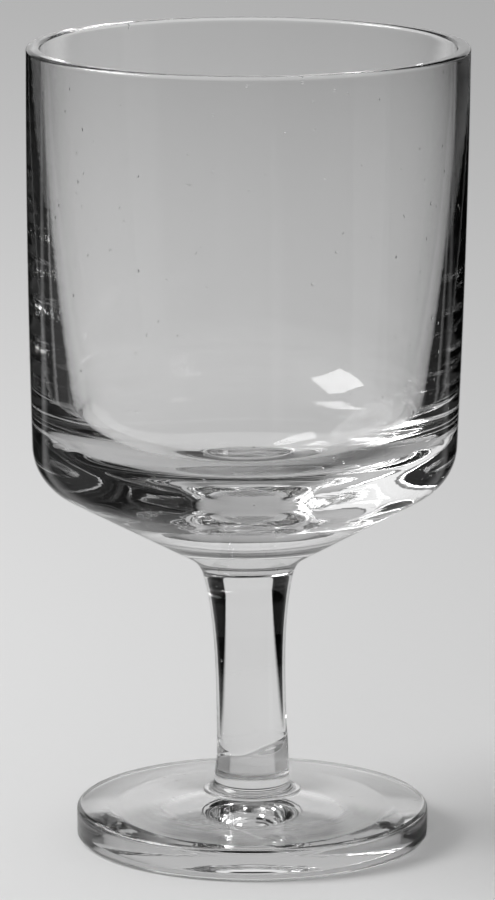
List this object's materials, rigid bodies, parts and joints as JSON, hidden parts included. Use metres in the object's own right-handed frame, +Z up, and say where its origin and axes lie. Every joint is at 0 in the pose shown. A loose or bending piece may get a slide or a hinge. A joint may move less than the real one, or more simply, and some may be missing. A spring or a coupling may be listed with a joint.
{
  "type": "white wine glass",
  "caption": "Short heavy stemmed drinking glass in clear glass: straight-sided bowl with a thick base, waisted stem and flat round foot, welded hot.",
  "frame": {"origin": "centre of the foot's standing ring, on the surface that the glass stands on", "axes": "+Z up along the axis that the bowl, stem and foot are turned about; X and Y are alike"},
  "size_m": [0.07, 0.07, 0.1283],
  "materials": {
    "bowl_glass": "clear colourless glass, fire polished",
    "stem_glass": "clear colourless glass, drawn and fire polished",
    "foot_glass": "clear colourless glass, tooled and fire polished"
  },
  "bodies": {
    "root": {"bowl": "bowl_glass", "stem": "stem_glass", "foot": "foot_glass"}
  },
  "joints": []
}
